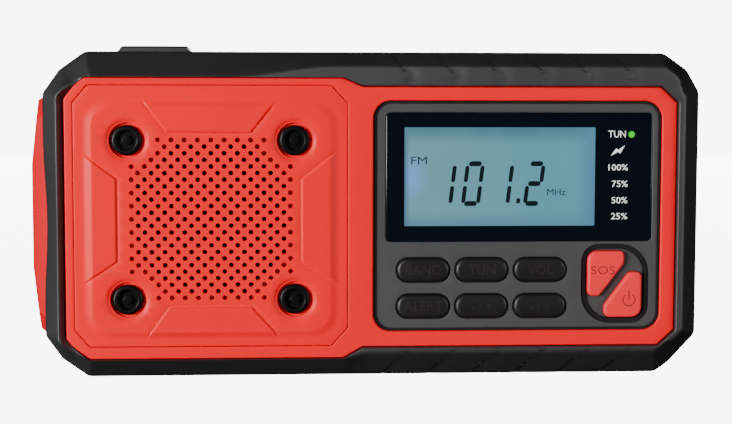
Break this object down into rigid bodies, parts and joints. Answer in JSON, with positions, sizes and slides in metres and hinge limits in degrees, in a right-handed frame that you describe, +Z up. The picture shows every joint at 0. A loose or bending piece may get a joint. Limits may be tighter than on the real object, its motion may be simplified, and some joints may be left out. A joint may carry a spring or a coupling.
{
  "type": "emergency radio",
  "caption": "Portable emergency radio with rubber bumper, speaker grille, display and keys, solar lid, folding crank, side flashlight and telescopic antenna.",
  "frame": {"origin": "on the surface it stands on, under the middle of the bumper's width, in the plane where the depth is zero between the front and the rear case", "axes": "+Z up, +X to the right seen from the front, front face towards -Y"},
  "size_m": [0.1734, 0.058, 0.085],
  "materials": {
    "red_plastic": "satin",
    "black_rubber": "matte",
    "black_plastic": "fine texture",
    "grey_plastic": "satin",
    "grey_rubber": "matte",
    "lens": "polished",
    "lcd": "polished",
    "white_plastic": "satin",
    "board_green": "solder mask",
    "component_grey": "tinned",
    "led_green": "clear tinted",
    "steel": "plated",
    "chrome": "polished",
    "ferrite": "sintered",
    "paper_black": "pressed fibre",
    "clear_plastic": "clear",
    "solar_blue": "laminated",
    "cell_sleeve": "shrink sleeve",
    "brass": "machined",
    "copper": "enamelled"
  },
  "bodies": {
    "housing": {"front_shell": "red_plastic", "speaker_grille": "red_plastic", "flashlight_bezel": "red_plastic", "bumper": "black_rubber", "base_pad": "black_rubber", "rear_shell": "black_plastic", "grille_screws": "black_plastic", "headphone_jack": "black_plastic", "display_panel": "grey_plastic", "display_lens": "lens", "lcd_glass": "lcd", "lcd_backlight": "white_plastic", "flashlight_led": "white_plastic", "main_board": "board_green", "port_board": "board_green", "lamp_boards": "board_green", "board_parts": "component_grey", "indicator_leds": "led_green", "case_screws": "steel", "lid_hinge_pin": "steel", "usb_sockets": "steel", "battery_contacts": "steel", "generator": "steel", "gear_plate": "steel", "speaker_frame": "steel", "flashlight_reflector": "chrome", "speaker_magnet": "ferrite", "ferrite_rod": "ferrite", "speaker_cone": "paper_black", "speaker_cloth": "paper_black", "flashlight_lens": "clear_plastic", "battery_cell": "cell_sleeve", "ferrite_coil": "copper"},
    "lid": {"solar_lid": "black_plastic", "solar_cell": "solar_blue", "reading_lamp_leds": "white_plastic", "reading_lamp_lens": "clear_plastic"},
    "port_flap": {"port_cover": "black_rubber"},
    "bay_door": {"battery_door": "black_plastic"},
    "crank": {"crank_arm": "black_plastic", "crank_shaft": "steel", "drive_gear": "white_plastic"},
    "knob_pivot": {"knob_stem": "steel"},
    "knob": {"crank_knob": "black_plastic"},
    "idler": {"compound_gear": "white_plastic"},
    "rotor": {"generator_pinion": "brass"},
    "aerial_base": {"antenna_post": "chrome"},
    "aerial_1": {"antenna_tube_1": "chrome"},
    "aerial_2": {"antenna_tube_2": "chrome"},
    "aerial_3": {"antenna_tube_3": "chrome"},
    "aerial_4": {"antenna_rod": "chrome"},
    "key_band": {"band_key": "black_rubber"},
    "key_tune_up": {"tune_up_key": "black_rubber"},
    "key_volume_up": {"volume_up_key": "black_rubber"},
    "key_alert": {"alert_key": "black_rubber"},
    "key_tune_down": {"tune_down_key": "black_rubber"},
    "key_volume_down": {"volume_down_key": "black_rubber"},
    "sos": {"sos_button": "red_plastic"},
    "power": {"power_button": "red_plastic"},
    "lamp_switch": {"lamp_button": "grey_rubber"}
  },
  "joints": [
    {"name": "crank_turn", "type": "hinge", "parent": "housing", "child": "crank", "pos_m": [0.034, 0, 0.0375], "axis": [0, 1, 0], "continuous": true},
    {"name": "idler_turn", "type": "hinge", "parent": "housing", "child": "idler", "pos_m": [0.022, 0, 0.05828], "axis": [0, 1, 0], "continuous": true},
    {"name": "rotor_turn", "type": "hinge", "parent": "housing", "child": "rotor", "pos_m": [0.0058, 0, 0.05828], "axis": [0, 1, 0], "continuous": true},
    {"name": "knob_flip", "type": "hinge", "parent": "crank", "child": "knob_pivot", "pos_m": [0.0592, 0.0264, 0.0375], "axis": [0, 0, -1], "range_deg": [0, 90]},
    {"name": "knob_spin", "type": "hinge", "parent": "knob_pivot", "child": "knob", "pos_m": [0.0592, 0.0264, 0.0375], "axis": [1, 0, 0], "continuous": true},
    {"name": "lid_open", "type": "hinge", "parent": "housing", "child": "lid", "pos_m": [0, 0.0168, 0.0796], "axis": [-1, 0, 0], "range_deg": [0, 90]},
    {"name": "port_flap_open", "type": "hinge", "parent": "housing", "child": "port_flap", "pos_m": [0.0818, 0.0186, 0], "axis": [0, 0, 1], "range_deg": [0, 90]},
    {"name": "bay_door_open", "type": "hinge", "parent": "housing", "child": "bay_door", "pos_m": [0, 0.029, 0.0103], "axis": [-1, 0, 0], "range_deg": [0, 90]},
    {"name": "aerial_swivel", "type": "hinge", "parent": "housing", "child": "aerial_base", "pos_m": [0.074, 0.0252, 0.0765], "axis": [0, 0, 1], "range_deg": [-180, 0]},
    {"name": "aerial_tilt", "type": "hinge", "parent": "aerial_base", "child": "aerial_1", "pos_m": [0.074, 0.0252, 0.0765], "axis": [0, 1, 0], "range_deg": [0, 90]},
    {"name": "aerial_slide_1", "type": "slide", "parent": "aerial_1", "child": "aerial_2", "axis": [-1, 0, 0], "range_m": [0, 0.095]},
    {"name": "aerial_slide_2", "type": "slide", "parent": "aerial_2", "child": "aerial_3", "axis": [-1, 0, 0], "range_m": [0, 0.095]},
    {"name": "aerial_slide_3", "type": "slide", "parent": "aerial_3", "child": "aerial_4", "axis": [-1, 0, 0], "range_m": [0, 0.095]},
    {"name": "key_band_press", "type": "slide", "parent": "housing", "child": "key_band", "axis": [0, 1, 0], "range_m": [0, 0.0008], "stiffness_N_per_m": 300},
    {"name": "key_tune_up_press", "type": "slide", "parent": "housing", "child": "key_tune_up", "axis": [0, 1, 0], "range_m": [0, 0.0008], "stiffness_N_per_m": 300},
    {"name": "key_volume_up_press", "type": "slide", "parent": "housing", "child": "key_volume_up", "axis": [0, 1, 0], "range_m": [0, 0.0008], "stiffness_N_per_m": 300},
    {"name": "key_alert_press", "type": "slide", "parent": "housing", "child": "key_alert", "axis": [0, 1, 0], "range_m": [0, 0.0008], "stiffness_N_per_m": 300},
    {"name": "key_tune_down_press", "type": "slide", "parent": "housing", "child": "key_tune_down", "axis": [0, 1, 0], "range_m": [0, 0.0008], "stiffness_N_per_m": 300},
    {"name": "key_volume_down_press", "type": "slide", "parent": "housing", "child": "key_volume_down", "axis": [0, 1, 0], "range_m": [0, 0.0008], "stiffness_N_per_m": 300},
    {"name": "sos_press", "type": "slide", "parent": "housing", "child": "sos", "axis": [0, 1, 0], "range_m": [0, 0.0008], "stiffness_N_per_m": 300},
    {"name": "power_press", "type": "slide", "parent": "housing", "child": "power", "axis": [0, 1, 0], "range_m": [0, 0.0008], "stiffness_N_per_m": 300},
    {"name": "lamp_switch_press", "type": "slide", "parent": "housing", "child": "lamp_switch", "axis": [0, 0, -1], "range_m": [0, 0.0007], "stiffness_N_per_m": 300}
  ],
  "couplings": [
    {"joint": "idler_turn", "follows": "crank_turn", "ratio": -4},
    {"joint": "rotor_turn", "follows": "crank_turn", "ratio": 14}
  ]
}
